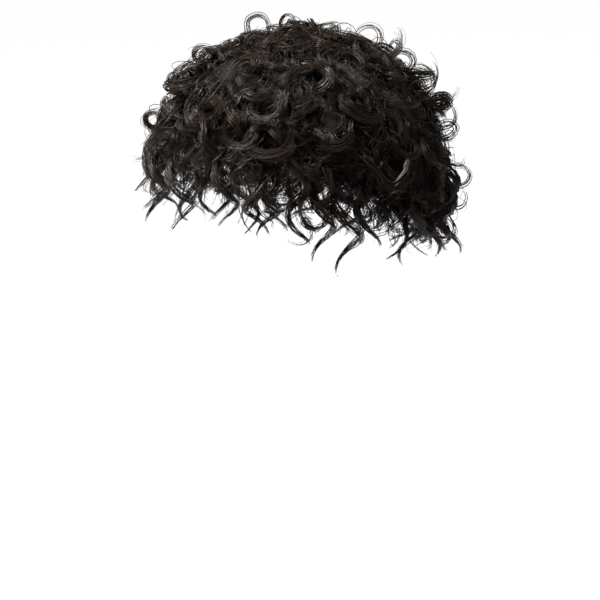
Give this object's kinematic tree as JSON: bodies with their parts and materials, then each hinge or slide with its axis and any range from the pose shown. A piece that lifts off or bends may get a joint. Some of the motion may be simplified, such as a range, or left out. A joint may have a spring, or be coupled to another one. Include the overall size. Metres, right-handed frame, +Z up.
{
  "type": "toupee hairpiece",
  "caption": "Short curly black toupee: a thin cap shaped to the top of the head, carrying dense hair that curls out all round and hangs in loose locks over the brow, ears and nape.",
  "frame": {"origin": "inside of the cap at the crown, where the top of the head touches it", "axes": "+Z up, the wearer looks along -Y, the wearer's left side is at +X"},
  "size_m": [0.22, 0.2706, 0.1901],
  "materials": {
    "base": "matte mesh",
    "hair": "soft sheen"
  },
  "bodies": {
    "root": {"base_cap": "base", "crown_hair": "hair", "front_fringe": "hair", "left_side_hair": "hair", "right_side_hair": "hair", "back_hair": "hair"}
  },
  "joints": []
}
